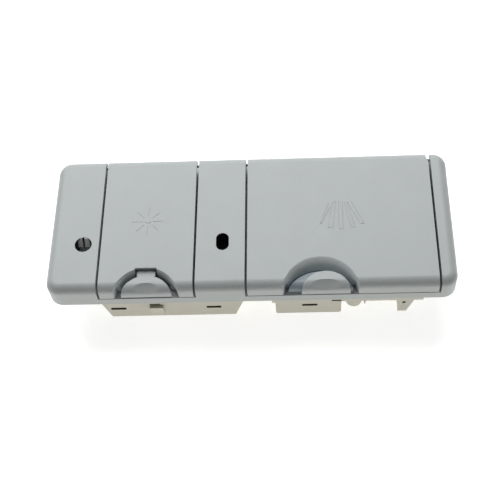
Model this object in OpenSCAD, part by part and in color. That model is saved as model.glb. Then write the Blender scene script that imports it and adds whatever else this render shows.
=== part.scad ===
// Dishwasher detergent and rinse aid dispenser, lying on its back with the face up.
// Millimetres. Origin on the table under the middle, X along the fascia, the latches at -Y, +Z out of the face.

/* [Fascia] */
// Width of the left strip, which holds the outlet hole
left_strip_w = 33.2; // [28:0.1:40]
// Width of the bay of the rinse aid lid
rinse_bay_w = 61.4; // [58:0.1:70]
// Width of the strip between the lids
middle_strip_w = 32.8; // [28:0.1:40]
// Width of the bay of the detergent lid
detergent_bay_w = 121.4; // [118:0.1:130]
// Width of the right strip
right_strip_w = 11.2; // [10.5:0.1:16]
// Depth of the fascia from front edge to back edge
fascia_d = 101.4; // [99:0.1:110]
// Height of the fascia's rim
fascia_h = 18.4; // [17.5:0.1:20]
// Corner radius seen from above
corner_r = 9; // [8:0.5:12]
// Rounding of the upper edge
edge_r = 6; // [5.8:0.1:6.5]
// Wall of the fascia's rim
rim_wall = 2.2; // [1.8:0.1:2.6]
// Thickness of the strips' faces
face_t = 2.4; // [2:0.1:3]
// Height of the lip under the lids' front edges
lip_h = 6.3; // [6:0.1:7]
// Thickness of the deck under the lids
deck_t = 2.2; // [1.8:0.1:2.6]
// Wall of the strips beside the bays
side_wall = 1.8; // [1.6:0.1:2.4]

/* [Lids] */
// Slit round a lid
lid_gap = 1.5; // [1.2:0.1:2]
// Slit under a lid's front edge
lip_gap = 0.8; // [0.6:0.1:1]
// Thickness of the lids
lid_t = 2.2; // [1.8:0.1:2.4]
// Hinge axis in from the back edge
hinge_in = 4.2; // [3.8:0.1:4.6]
// Hinge axis below the face
hinge_down = 4.4; // [4:0.1:4.8]
// Hinge pin radius
hinge_pin_r = 1.25; // [1:0.05:1.5]
// Radius of the lids' hinge barrels
barrel_r = 2.9; // [2.6:0.1:3.2]
// Running clearance of a pin in its barrel
pin_fit = 0.06; // [0.03:0.01:0.1]
// Length of a hinge barrel
barrel_len = 14; // [8:1:18]

/* [Detergent cup] */
// Inside of the cup along the fascia
cup_l = 96; // [80:1:98]
// Depth of the cup under the deck
cup_depth = 27; // [20:1:28]
// Corner radius of the cup
cup_r = 12; // [8:1:16]
// Rounding of the cup's floor
cup_floor_r = 5; // [3:1:7]
// Wall of the cup
cup_wall = 2; // [1.6:0.1:2.4]
// Height of the cup's rim over the deck
cup_rim_h = 3.5; // [2.5:0.1:4]
// Cup's inner front wall from the front edge of the fascia
cup_front = 29; // [28:0.5:34]
// Cup's inner back wall from the back edge of the fascia
cup_back = 17.4; // [17:0.1:24]

/* [Thumb latches] */
// Middle of the detergent latch's recess from the detergent bay's left edge
latch_recess_x = 47; // [44:0.5:52]
// Radius of that recess at the face
latch_recess_r = 24; // [23.5:0.1:24.4]
// Its centre in front of the fascia's front edge
latch_recess_out = 2.4; // [2:0.1:2.8]
// Radius of its inner edge
latch_inner_r = 24.6; // [24:0.1:25]
// Centre of the inner edge in front of the front edge
latch_inner_out = 10.4; // [10:0.1:10.8]
// Radius of the rinse latch's recess at the face
tongue_recess_r = 21; // [20.6:0.1:21.4]
// Its centre in front of the front edge
tongue_recess_out = 5.3; // [5:0.1:5.6]
// Radius of its inner edge
tongue_inner_r = 19.1; // [18.6:0.1:19.2]
// Centre of that inner edge in front of the front edge
tongue_inner_out = 5.4; // [5.2:0.1:5.5]
// Depth of both recesses' inner edges below the face
recess_drop = 5.4; // [5:0.1:5.6]
// Travel of the detergent latch
latch_travel = 7; // [5:0.5:7]
// Radius of the detergent latch's thumb piece
button_r = 15.8; // [15:0.1:16.2]
// Centre of the thumb piece in front of the front edge
button_out = 3.2; // [3:0.1:3.6]
// Thumb piece to the right of the recess's middle
button_offset = 3.35; // [3:0.05:3.6]
// Top of both thumb pieces below the face
button_drop = 3; // [2.8:0.1:3.2]
// Radius of the rinse latch's tongue
tongue_r = 17; // [16:0.1:17.4]
// Centre of the tongue in front of the front edge
tongue_out = 5; // [4.8:0.1:5.4]
// Width of the tab on the tongue
tab_w = 11.7; // [10:0.1:13]
// Thickness of both thumb pieces
thumb_t = 2.2; // [1.8:0.1:2.3]
// Their wall at the front
thumb_wall = 1.2; // [1:0.1:1.4]

/* [Rear housing] */
// Depth of the body behind the fascia's rim
back_depth = 28.1; // [27.5:0.1:32]
// Body's front wall in from the fascia's front edge
body_in = 6; // [5.6:0.1:7]
// Wall of the rear housing
body_wall = 2; // [1.6:0.1:2.4]
// Body's back wall in from the fascia's back edge
body_back = 7.4; // [7:0.1:9]
// Slant of the tank's left end over its height
tank_slant_left = 8.5; // [7:0.1:9]
// Slant of the tank's right end over its height
tank_slant_right = 10.5; // [9:0.1:11]
// Tank floor's left end from the fascia's left edge
tank_in = 36.1; // [35:0.1:38]
// Middle of the level slot to the right of the rinse aid bay
level_in = 17.7; // [17:0.1:18.5]
// Length of the actuator box
coil_box_l = 45.1; // [43:0.1:48]
// Its left wall to the right of the detergent bay's left edge
coil_box_in = 15.4; // [15:0.1:16]
// Outside of the actuator box across the fascia
coil_box_w = 19; // [18.6:0.1:19.4]

/* [Actuator] */
// Radius of the coil's plunger
plunger_r = 2.5; // [2:0.1:3]
// Height of the plunger's axis over the table
plunger_z = 16; // [15:0.1:17]
// Height of the release lever's pivot over the table
lever_z = 6; // [5.5:0.1:6.5]
// Length of the release lever to the latch
lever_len = 21.6; // [20.6:0.1:21.8]
// Outer radius of the coil winding
winding_r = 6.2; // [5:0.1:6.4]
// Length of the coil's bobbin
bobbin_l = 18; // [14:0.5:18]

/* [Hidden] */
$fn = 64;

// Colours of the materials
grey = "#b9bfc3";
ivory = "#d2d3c3";
steel = "#b8babd";
rubber = "#3a3c3e";

// Small play between pieces that sit in or on one another
play = 0.3;
// A cut runs this far past the face that it opens
over = 1;

// Overall sizes and levels
fascia_w = left_strip_w + rinse_bay_w + middle_strip_w + detergent_bay_w + right_strip_w;
front_y = -fascia_d / 2;
back_y = fascia_d / 2;
rim_z = back_depth;
face_z = back_depth + fascia_h;
deck_z = rim_z + lip_h;
under_deck_z = deck_z - deck_t;
left_x = -fascia_w / 2;

// Edges of the bays
rinse_x0 = left_x + left_strip_w;
rinse_x1 = rinse_x0 + rinse_bay_w;
detergent_x0 = rinse_x1 + middle_strip_w;
detergent_x1 = detergent_x0 + detergent_bay_w;

// Hinge axis of both lids
hinge_y = back_y - hinge_in;
hinge_z = face_z - hinge_down;

// Middle lines of the two latches
latch_x = detergent_x0 + latch_recess_x;
button_x = latch_x + button_offset;
tongue_x = (rinse_x0 + rinse_x1) / 2;

// Cup, centred in its bay but for the latch in front of it
cup_w = fascia_d - cup_front - cup_back;
cup_x = (detergent_x0 + detergent_x1) / 2;
cup_y = front_y + cup_front + cup_w / 2;

// Extrudes a (Y, Z) outline along X
module along_x(x0, x1) {
  translate([x0, 0, 0]) rotate([90, 0, 90]) linear_extrude(x1 - x0) children();
}

// Extrudes an (X, Z) outline along Y
module along_y(y0, y1) {
  translate([0, y1, 0]) rotate([90, 0, 0]) linear_extrude(y1 - y0) children();
}

// Box between two corners
module block(x0, x1, y0, y1, z0, z1) {
  translate([x0, y0, z0]) cube([x1 - x0, y1 - y0, z1 - z0]);
}

// Round bar along X
module bar_x(x0, x1, y, z, r) {
  translate([x0, y, z]) rotate([0, 90, 0]) cylinder(r = r, h = x1 - x0);
}

// Round bar along Y
module bar_y(y0, y1, x, z, r) {
  translate([x, y1, z]) rotate([90, 0, 0]) cylinder(r = r, h = y1 - y0);
}

// Round bar along Z
module bar_z(x, y, z0, z1, r) {
  translate([x, y, z0]) cylinder(r = r, h = z1 - z0);
}

// Outline of a wall with its upper outer corner rounded, reaching from 0 outward
module rounded_reach(reach, height, r) {
  square([reach - r, height]);
  square([reach, height - r]);
  translate([reach - r, height - r]) circle(r);
}

// Outline of a whole section with both upper corners rounded
module rounded_section(length, height, r) {
  for (side = [0, 1]) mirror([side, 0]) rounded_reach(length / 2, height, r);
}

// Rounded rectangle
module rounded_rect(length, width, r) {
  square([length - 2 * r, width], center = true);
  square([length, width - 2 * r], center = true);
  for (sx = [-1, 1]) for (sy = [-1, 1])
    translate([sx * (length / 2 - r), sy * (width / 2 - r)]) circle(r);
}

// Block with rounded corners in plan and a rounded upper edge, standing on z = 0
module soft_block(length, width, height, plan_r, top_r) {
  along_x(-length / 2 + plan_r, length / 2 - plan_r) rounded_section(width, height, top_r);
  along_y(-width / 2 + plan_r, width / 2 - plan_r) rounded_section(length, height, top_r);
  for (corner = [0 : 3]) {
    sx = corner == 0 || corner == 3 ? 1 : -1;
    sy = corner < 2 ? 1 : -1;
    translate([sx * (length / 2 - plan_r), sy * (width / 2 - plan_r), 0])
      rotate([0, 0, 90 * corner]) rotate_extrude(angle = 90) intersection() {
        rounded_reach(plan_r, height, top_r);
        square([plan_r, height]);
      }
  }
}

// Outer form of the fascia, which strips and lids share
module fascia_form() {
  translate([0, 0, rim_z]) soft_block(fascia_w, fascia_d, fascia_h, corner_r, edge_r);
}

// Room under the faces between two places along X, a wall further in
module fascia_inside(x0, x1, wall, top) {
  r = edge_r - wall;
  height = fascia_h + over - top;
  intersection() {
    along_x(x0, x1) translate([0, rim_z - over]) rounded_section(fascia_d - 2 * wall, height, r);
    along_y(-fascia_d / 2, fascia_d / 2)
      translate([0, rim_z - over]) rounded_section(fascia_w - 2 * wall, height, r);
    translate([0, 0, under_deck_z - over]) linear_extrude(fascia_h)
      rounded_rect(fascia_w - 2 * wall, fascia_d - 2 * wall, corner_r - wall);
  }
}

// Point of the fascia's front section: u runs down from the flat face round the edge, depth goes inward
function section_point(u, depth) =
  let (turn = (edge_r - u) / edge_r * 180 / PI, wall_u = -edge_r * (PI / 2 - 1))
  u >= edge_r ? [front_y + u, face_z - depth]
  : u >= wall_u ? [front_y + edge_r - (edge_r - depth) * sin(turn),
    face_z - edge_r + (edge_r - depth) * cos(turn)]
  : [front_y + depth, face_z - edge_r + u - wall_u];

// Thumb recess as a cutter with a soft rim, its outline drawn on the unrolled front of the fascia.
// s runs from the rim (0) to the recess's inner edge (1), and starts above the face.
scoop_steps = 12;
scoop_levels = 5;
scoop_start = -0.45;
scoop_foot = -14;
scoop_side = 2.2;
module scoop(mid_x, rim_r, rim_out, inner_r, inner_out, drop) {
  shift = inner_out - rim_out;
  angles = [for (k = [0 : 2 * scoop_steps]) k * 90 / scoop_steps];
  last = len(angles) + 1;
  count = last + 1;
  function sunk(s) = drop * (0.2 * s + 0.8 * s * abs(s));
  // Distance of the inner edge from the middle of the rim's circle in one direction
  function inner_reach(a) =
    min(rim_r - scoop_side, -shift * sin(a) + sqrt(inner_r * inner_r - pow(shift * cos(a), 2)));
  function flat_point(i, s) =
    i == 0 ? [rim_r - s * scoop_side, scoop_foot]
    : i == last ? [-rim_r + s * scoop_side, scoop_foot]
    : let (a = angles[i - 1], r = rim_r + s * (inner_reach(a) - rim_r)) [r * cos(a), r * sin(a) - rim_out];
  function place(i, s) =
    let (p = flat_point(i, s), q = section_point(p[1], sunk(s))) [mid_x + p[0], q[0], q[1]];
  rings = [
    for (j = [0 : scoop_levels])
      let (s = scoop_start + (1 - scoop_start) * j / scoop_levels) [for (i = [0 : last]) place(i, s)]
  ];
  top = scoop_levels;
  sides = [
    for (j = [0 : scoop_levels - 1]) for (i = [0 : last - 1])
      each [
        [j * count + i, (j + 1) * count + i + 1, (j + 1) * count + i],
        [j * count + i, j * count + i + 1, (j + 1) * count + i + 1]
      ]
  ];
  caps = [
    for (i = [0 : last / 2 - 1])
      each [
        [i, last - i - 1, i + 1], [i, last - i, last - i - 1],
        [top * count + i, top * count + i + 1, top * count + last - i - 1],
        [top * count + i, top * count + last - i - 1, top * count + last - i]
      ]
  ];
  foot = [concat([for (j = [0 : top]) j * count], [for (j = [0 : top]) (top - j) * count + last])];
  polyhedron(points = [for (ring = rings) each ring], faces = concat(sides, caps, foot));
}

// Outline in (Y, Z) of a band that follows the fascia's section, so thick, down to a level at the front
module section_band(thick, front_level, back_level) {
  difference() {
    translate([0, rim_z]) rounded_section(fascia_d, fascia_h, edge_r);
    translate([0, rim_z - over])
      rounded_section(fascia_d - 2 * thick, fascia_h + over - thick, max(edge_r - thick, 0.4));
    translate([-fascia_d, rim_z - over]) square([fascia_d, front_level - rim_z + over]);
    translate([0, rim_z - over]) square([fascia_d, back_level - rim_z + over]);
  }
}

// Lid shell between two places along X, without its recess
lid_front_z = deck_z + lip_gap;
lid_back_z = hinge_z - 1.5;
module lid_shell(x0, x1, barrels) {
  along_x(x0, x1) section_band(lid_t, lid_front_z, lid_back_z);
  // Stiffening walls at both ends
  for (x = [x0, x1 - lid_t + 0.6])
    block(x, x + lid_t - 0.6, front_y + lid_t - 0.4, hinge_y - 6, lid_front_z, face_z - lid_t + 0.2);
  for (x = barrels) {
    bar_x(x, x + barrel_len, hinge_y, hinge_z, barrel_r);
    block(x, x + barrel_len, hinge_y - barrel_r, hinge_y + 1, hinge_z, face_z - lid_t + 0.2);
  }
}

// Thick rim round a thumb recess
recess_rim = 1.5;
module recess_frame(mid_x, rim_r, rim_out) {
  intersection() {
    along_x(mid_x - rim_r - 3, mid_x + rim_r + 3)
      intersection() {
        section_band(recess_drop + recess_rim, lid_front_z, lid_back_z);
        translate([front_y - over, rim_z]) square([rim_r + 8, fascia_h + over]);
      }
    bar_z(mid_x, front_y - rim_out, rim_z, face_z + over, rim_r + 2);
  }
}

// Ring between two rounded rectangles of one rim, spread outward and inward from the cup's inside
module cup_ring(outward, inward, z0, z1) {
  translate([cup_x, cup_y, z0]) difference() {
    linear_extrude(z1 - z0) rounded_rect(cup_l + 2 * outward, cup_w + 2 * outward, cup_r + outward);
    translate([0, 0, -over]) linear_extrude(z1 - z0 + 2 * over)
      rounded_rect(cup_l - 2 * inward, cup_w - 2 * inward, cup_r - inward);
  }
}

// Round ring on an upright axis
module ring_z(x, y, z0, z1, outer, inner) {
  translate([x, y, z0]) rotate_extrude()
    translate([inner, 0]) square([outer - inner, z1 - z0]);
}

// Lid seals: width past the rim they close on, and the ribs that hold them
seal_spread = 0.5;
seal_rib_t = 1.2;
seal_rib_h = 3;
seal_play = 0.1;
lid_under_z = face_z - lid_t;
cup_rim_z = deck_z + cup_rim_h;

// Rinse aid filler neck and dose dial under the rinse aid lid
filler_x = tongue_x - 8;
filler_in = 37.2;
filler_y = hinge_y - filler_in;
filler_r = 11;
filler_wall = 2;
dial_x = tongue_x + 17;
dial_y = front_y + 36;
dial_r = 6.5;
dial_shaft_r = 2.5;

// Stem of the detergent latch
stem_x = 3;
stem_in = 5.7;
stem_t = 2;
stem_y0 = front_y + stem_in;
stem_y1 = stem_y0 + stem_t;

// Catch of the detergent latch: a nose on the latch over the toe of the lid's hook. Both end in a wedge,
// so that the sprung latch gives way when the lid is pressed shut or pulled hard.
nose_reach = 14.25;
catch = 3;
wedge_t = 0.4;
nose_w = 3.2;
nose_h = 2.9;
nose_y = stem_y1 + 0.6;
hook_w = nose_w + 1;
hook_gap = 0.4;
rest_gap = 0.05;
hook_leg_t = 2.5;
toe_h = 2.5;
toe_lean = 0.5;
toe_z = deck_z + hook_gap;
toe_x = button_x + nose_reach - catch;
hook_leg_x = button_x + nose_reach + hook_gap;
hook_top_z = face_z - recess_drop - recess_rim - rest_gap;
hook_base_l = 5;
hook_base_t = 0.8;
wedge_slope = (toe_h - toe_lean - wedge_t) / (catch + hook_gap);
nose_z = toe_z + toe_lean + wedge_t + play;
nose_tip_z = nose_z + wedge_slope * catch;

// Notch at the back right corner of the detergent lid
notch_w = 1.2;
notch_l = 7.5;
// Middle gap between the barrels, for the lid's spring
spring_room = 12;
lid_spring_r = 1.6;
lid_spring_wire = 0.25;
barrel_side = 2;

module detergent_lid() color(grey) {
  x0 = detergent_x0 + lid_gap / 2;
  x1 = detergent_x1 - lid_gap / 2;
  barrels = [x0 + barrel_side, cup_x - spring_room / 2 - barrel_len, cup_x + spring_room / 2,
    x1 - barrel_side - barrel_len];
  difference() {
    union() {
      lid_shell(x0, x1, barrels);
      recess_frame(latch_x, latch_recess_r, latch_recess_out);
      cup_ring(cup_wall + seal_spread + seal_play + seal_rib_t, -cup_wall - seal_spread - seal_play,
        lid_under_z - seal_rib_h, lid_under_z + 0.2);
      cup_ring(-seal_spread - seal_play, seal_spread + seal_play + seal_rib_t,
        lid_under_z - seal_rib_h, lid_under_z + 0.2);
      // Stiffening ribs over the cup
      for (k = [-1 : 1])
        block(cup_x + k * cup_l / 4 - 0.6, cup_x + k * cup_l / 4 + 0.6, cup_y - cup_w / 2 + 1.2,
          cup_y + cup_w / 2 - 1.2, lid_under_z - 2, lid_under_z + 0.2);
    }
    scoop(latch_x, latch_recess_r, latch_recess_out, latch_inner_r + 0.15, latch_inner_out, recess_drop);
    bar_z(latch_x, front_y - latch_inner_out, rim_z, face_z - 1, latch_inner_r);
    bar_x(x0 - over, x1 + over, hinge_y, hinge_z, hinge_pin_r + pin_fit);
    bar_x(cup_x - spring_room / 2, cup_x + spring_room / 2, hinge_y, hinge_z,
      lid_spring_r + lid_spring_wire + play);
    block(x1 - notch_w, x1 + over, back_y - notch_l, back_y + over, deck_z, face_z + over);
  }
}

// Hook clipped under the thick rim of the lid's recess
module lid_hook() color("#e4e4de") {
  along_y(front_y + recess_drop + recess_rim + rest_gap, nose_y + hook_w / 2) polygon([
    [toe_x, toe_z + toe_lean], [hook_leg_x, toe_z], [hook_leg_x + hook_leg_t, toe_z],
    [hook_leg_x + hook_leg_t, hook_top_z - hook_base_t], [hook_leg_x + hook_base_l, hook_top_z - hook_base_t],
    [hook_leg_x + hook_base_l, hook_top_z], [hook_leg_x, hook_top_z],
    [hook_leg_x, toe_z + toe_h], [toe_x, toe_z + toe_lean + wedge_t]
  ]);
}

module detergent_lid_seal() color(rubber)
  cup_ring(cup_wall + seal_spread, seal_spread, cup_rim_z + play, lid_under_z);

// Ledge notch that takes the tab of the tongue
tab_t = 1.3;
tab_l = 6;
tab_r = 2;
tab_reach = 15.1;
tab_hold = 0.9;
tab_lead = 0.47;
tab_z1 = face_z - button_drop;
tab_z0 = tab_z1 - tab_t;

notch_side = 1.2;
notch_back = 0.5;
notch_r = 0.9;

module rinse_lid() color(grey) {
  ledge_y = front_y + tab_reach - tab_hold;
  notch_half = tab_w / 2 + notch_side;
  x0 = rinse_x0 + lid_gap / 2;
  x1 = rinse_x1 - lid_gap / 2;
  difference() {
    union() {
      lid_shell(x0, x1, [x0 + barrel_side, x1 - barrel_side - barrel_len]);
      recess_frame(tongue_x, tongue_recess_r, tongue_recess_out);
      ring_z(filler_x, filler_y, lid_under_z - seal_rib_h, lid_under_z + 0.2,
        filler_r + filler_wall + seal_spread + seal_play + seal_rib_t,
        filler_r + filler_wall + seal_spread + seal_play);
      ring_z(filler_x, filler_y, lid_under_z - seal_rib_h, lid_under_z + 0.2,
        filler_r - seal_spread - seal_play, filler_r - seal_spread - seal_play - seal_rib_t);
    }
    scoop(tongue_x, tongue_recess_r, tongue_recess_out, tongue_inner_r + 0.15, tongue_inner_out, recess_drop);
    bar_z(tongue_x, front_y - tongue_inner_out, rim_z, face_z - 1, tongue_inner_r);
    // Notch round the tab, wider than the tab at both sides
    translate([tongue_x, ledge_y + tab_hold + notch_back - tab_l / 2, tab_z0 - play])
      linear_extrude(face_z - tab_z0 + over) rounded_rect(2 * notch_half, tab_l, notch_r);
    // Ledge under the tab, sloped below so that it pushes the tab aside
    along_x(tongue_x - notch_half, tongue_x + notch_half) polygon([
      [ledge_y - tab_l, tab_z0], [ledge_y, tab_z0], [ledge_y, tab_z0 - 2 * play],
      [ledge_y + tab_lead * (tab_z0 - 2 * play - rim_z), rim_z], [ledge_y - tab_l, rim_z]
    ]);
    // The ledge stands free under the face behind the tab
    block(tongue_x - notch_half, tongue_x + notch_half, ledge_y - over, ledge_y + tab_l,
      tab_z0 - play, lid_under_z);
    bar_x(x0 - over, x1 + over, hinge_y, hinge_z, hinge_pin_r + pin_fit);
  }
}

module rinse_lid_seal() color(rubber)
  ring_z(filler_x, filler_y, cup_rim_z + play, lid_under_z,
    filler_r + filler_wall + seal_spread, filler_r - seal_spread);

// Hinge pins reach through the walls of the strips beside their bay
module lid_pin(x0, x1) color(steel)
  bar_x(x0 - lid_gap / 2 - side_wall, x1 + lid_gap / 2 + side_wall, hinge_y, hinge_z, hinge_pin_r);
module detergent_hinge_pin() lid_pin(detergent_x0, detergent_x1);
module rinse_hinge_pin() lid_pin(rinse_x0, rinse_x1);

// Solid of both thumb pieces and the rest under them: round in plan, its front rounded like the
// fascia's edge. The insets are distances behind the thumb pieces' front and below their top.
thumb_block = 34;
thumb_front = 0.4;
module thumb_section(mid_x, r, front_inset, top_inset, base_z) {
  along_x(mid_x - r - over, mid_x + r + over)
    translate([front_y + thumb_front + front_inset + thumb_block, base_z]) mirror([1, 0])
      rounded_reach(thumb_block, face_z - button_drop - top_inset - base_z, edge_r - front_inset);
}
module thumb_form(mid_x, r, out, front_inset, top_inset, base_z) {
  intersection() {
    bar_z(mid_x, front_y - out, base_z, face_z, r);
    thumb_section(mid_x, r, front_inset, top_inset, base_z);
  }
}

// Shallow dish for the thumb, cut across the rounded front
button_dish_r = 36;
tongue_dish_r = 24;
dish_depth = 1.3;
dish_tilt = 35;
module thumb_dish(mid_x, dish_r) {
  reach = edge_r + dish_r - dish_depth;
  translate([mid_x, front_y + thumb_front + edge_r - reach * sin(dish_tilt),
    face_z - button_drop - edge_r + reach * cos(dish_tilt)]) sphere(r = dish_r, $fn = 96);
}

// Body behind the fascia, and the middle of the actuator box
body_y0 = front_y + body_in;
body_y1 = back_y - body_back;
body_top_z = under_deck_z - play;
box_x0 = detergent_x0 + coil_box_in;
box_x1 = box_x0 + coil_box_l;
coil_y = body_y0 + coil_box_w / 2;
lever_x = button_x;
lever_top_z = lever_z + lever_len;
lever_pin_r = 1;

// Foot and fork of the detergent latch, and the spring on its seat
foot_x = 5.5;
foot_t = 2;
foot_z1 = under_deck_z - play;
foot_z0 = foot_z1 - foot_t;
fork_slot = 2;
fork_t = 1.8;
fork_drop = 3.7;
fork_w = 2.5;
latch_spring_r = 1.9;
latch_spring_wire = 0.35;
latch_spring_l = 18.25;
latch_spring_y = body_y0 + body_wall + latch_spring_r + latch_spring_wire + 0.35;
latch_spring_z = foot_z0 - 0.2;
spring_seat_h = 2.4;
spring_seat_w = 4;
spring_seat_t = 2;
spring_post_x = button_x - foot_x - latch_spring_l;

module detergent_latch() color(grey) {
  difference() {
    thumb_form(button_x, button_r, button_out, 0, 0, deck_z + play);
    thumb_section(button_x, button_r + over, thumb_wall, thumb_t, deck_z - over);
    thumb_dish(button_x, button_dish_r);
  }
  block(button_x - stem_x, button_x + stem_x, stem_y0, stem_y1, foot_z0, face_z - button_drop - thumb_t + 0.3);
  // Nose that holds the lid's hook
  along_y(nose_y - nose_w / 2, nose_y + nose_w / 2) polygon([
    [button_x, nose_z], [toe_x, nose_z], [button_x + nose_reach, nose_tip_z],
    [button_x + nose_reach, nose_tip_z + wedge_t], [toe_x, nose_z + nose_h], [button_x, nose_z + nose_h]
  ]);
  block(button_x - foot_x, button_x + foot_x, stem_y0 - 0.2, coil_y + fork_w + 0.5, foot_z0, foot_z1);
  block(button_x - foot_x, button_x - foot_x + spring_seat_t, latch_spring_y - spring_seat_w / 2,
    latch_spring_y + spring_seat_w / 2, latch_spring_z - spring_seat_h, foot_z0 + 0.2);
  for (side = [-1, 1])
    translate([button_x + side * (fork_slot + fork_t / 2) - fork_t / 2, coil_y - fork_w, foot_z0 - fork_drop])
      cube([fork_t, 2 * fork_w, fork_drop + 0.2]);
}

// Coil spring along +Z, swept ring by ring round its helix
spring_sides = 6;
spring_steps = 12;
module coil_spring(coil_r, wire_r, turns, length) {
  rise = (length - 2 * wire_r) / turns;
  lead = atan2(rise, 2 * PI * coil_r);
  count = turns * spring_steps;
  points = [
    for (k = [0 : count]) for (j = [0 : spring_sides - 1])
      let (a = k * 360 / spring_steps, b = j * 360 / spring_sides, out = coil_r + wire_r * cos(b))
        [
          out * cos(a) + wire_r * sin(b) * sin(lead) * sin(a),
          out * sin(a) - wire_r * sin(b) * sin(lead) * cos(a),
          wire_r + rise * k / spring_steps + wire_r * sin(b) * cos(lead)
        ]
  ];
  faces = [
    for (k = [0 : count - 1]) for (j = [0 : spring_sides - 1])
      let (n = (j + 1) % spring_sides, p = k * spring_sides, q = p + spring_sides)
        each [[p + j, q + j, q + n], [p + j, q + n, p + n]]
  ];
  ends = [
    [for (j = [0 : spring_sides - 1]) j],
    [for (j = [spring_sides - 1 : -1 : 0]) count * spring_sides + j]
  ];
  polyhedron(points = points, faces = concat(faces, ends));
}

module spring_x(x0, x1, y, z, coil_r, wire_r, turns) color(steel)
  translate([x0, y, z]) rotate([0, 90, 0]) coil_spring(coil_r, wire_r, turns, x1 - x0);

module latch_spring()
  spring_x(spring_post_x, button_x - foot_x, latch_spring_y, latch_spring_z, latch_spring_r,
    latch_spring_wire, 9);

// Spring that throws the detergent lid open, wound round the hinge pin
module detergent_lid_spring()
  spring_x(cup_x - spring_room / 2 + 1, cup_x + spring_room / 2 - 1, hinge_y, hinge_z, lid_spring_r,
    lid_spring_wire, 8);

// Tongue of the rinse aid latch, its pin and spring
tongue_pin_y = front_y + 4.4;
tongue_pin_z = face_z - 8.6;
tongue_pin_r = 0.8;
tongue_pin_l = 19.6;
tongue_barrel_r = 1.6;
tongue_barrel_x0 = 3;
tongue_barrel_x1 = 7.6;
tongue_wall = 1.8;
tongue_base_z = deck_z + 1;

module rinse_latch() color(grey) difference() {
  union() {
    difference() {
      thumb_form(tongue_x, tongue_r, tongue_out, 0, 0, tongue_base_z);
      thumb_form(tongue_x, tongue_r - tongue_wall, tongue_out, thumb_wall, thumb_t, tongue_base_z - over);
    }
    for (side = [0, 1]) translate([tongue_x, 0, 0]) mirror([side, 0, 0]) {
      bar_x(tongue_barrel_x0, tongue_barrel_x1, tongue_pin_y, tongue_pin_z, tongue_barrel_r);
      block(tongue_barrel_x0, tongue_barrel_x1, front_y + thumb_front + thumb_wall - 0.2, tongue_pin_y,
        tongue_pin_z - 0.8, tongue_pin_z + 0.8);
    }
    translate([tongue_x, front_y + tab_reach - tab_l / 2, tab_z0])
      linear_extrude(tab_t) rounded_rect(tab_w, tab_l, tab_r);
  }
  bar_x(tongue_x - tongue_barrel_x1 - 0.2, tongue_x + tongue_barrel_x1 + 0.2, tongue_pin_y, tongue_pin_z,
    tongue_pin_r + pin_fit);
  thumb_dish(tongue_x, tongue_dish_r);
}

module rinse_latch_pin() color(steel)
  bar_x(tongue_x - tongue_pin_l / 2, tongue_x + tongue_pin_l / 2, tongue_pin_y, tongue_pin_z, tongue_pin_r);

module rinse_latch_spring()
  spring_x(tongue_x - tongue_barrel_x0 + play, tongue_x + tongue_barrel_x0 - play, tongue_pin_y,
    tongue_pin_z, 1.3, 0.3, 6);

// Outlet hole of the left strip and the nozzle in it
outlet_x = left_x + 22.3;
outlet_y = front_y + 34;
outlet_r = 5.5;
outlet_wall = 1.8;
outlet_floor_z = under_deck_z + 1;
nozzle_play = 0.1;

// Level slot of the middle strip
level_x = rinse_x1 + level_in;
level_y = front_y + 33.9;
level_w = 8.2;
level_l = 12.8;
lens_top_z = deck_z + 1.3;

module obround(w, l) {
  square([w, l - w], center = true);
  for (side = [-1, 1]) translate([0, side * (l - w) / 2]) circle(w / 2);
}

// Sloped vanes at the back of the outlet: their sides across the outlet and their profile
vane_sides = [[-4.2, -1.2], [0.3, 3.6]];
vane_top_in = 0.4;
vane_slope = [3.2, 4.8];
vane_foot_in = 1.7;
module outlet_nozzle() color(grey) {
  r = outlet_r - nozzle_play;
  edge_y = outlet_y + 1.5;
  edge_z = face_z - vane_top_in - vane_slope[1];
  bar_z(outlet_x, outlet_y, outlet_floor_z, deck_z + 1.5, r);
  intersection() {
    bar_z(outlet_x, outlet_y, outlet_floor_z, face_z, r);
    for (side = vane_sides)
      along_x(outlet_x + side[0], outlet_x + side[1]) polygon([
        [edge_y + vane_foot_in, deck_z + 1], [outlet_y + r + over, deck_z + 1],
        [outlet_y + r + over, face_z - vane_top_in],
        [edge_y + vane_slope[0], face_z - vane_top_in], [edge_y, edge_z]
      ]);
  }
}

module level_lens() color("#202428") {
  translate([level_x, level_y, under_deck_z]) linear_extrude(lens_top_z - under_deck_z)
    obround(level_w - 0.2, level_l - 0.2);
  translate([level_x, level_y, under_deck_z - 1.2]) linear_extrude(1.2) obround(level_w + 2, level_l + 2);
}

module dose_dial() color("#e8e8e4") {
  bar_z(dial_x, dial_y, deck_z + 1.3, deck_z + 4.8, dial_r);
  // Grip across the dial
  block(dial_x - dial_r + 1, dial_x + dial_r - 1, dial_y - 0.9, dial_y + 0.9, deck_z + 4.6, deck_z + 6.6);
  bar_z(dial_x, dial_y, under_deck_z - 2, deck_z + 1.5, dial_shaft_r);
}

module dial_seal() color(rubber)
  ring_z(dial_x, dial_y, deck_z, deck_z + 1.2, dial_shaft_r + 2, dial_shaft_r + 0.1);

// Screws between the two housings
screw_r = 1.25;
screw_head_r = 2.8;
screw_head_h = 1.8;
screw_l = 7;
plate_z0 = rim_z - 4;
plate_t = 2;
plate_z1 = plate_z0 + plate_t;
post_r = 2.8;
boss_x = button_x + 18.5;
boss_r = 5.4;
boss_z0 = 7.3;
boss_y = body_y0 + boss_r;
lug_x = left_x + 22;
lug_y = front_y + 50;
back_screw_y = body_y1 - body_wall - post_r - play;
screws = [[boss_x, boss_y], [cup_x - 35, back_screw_y], [cup_x + 35, back_screw_y], [lug_x, lug_y]];

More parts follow.
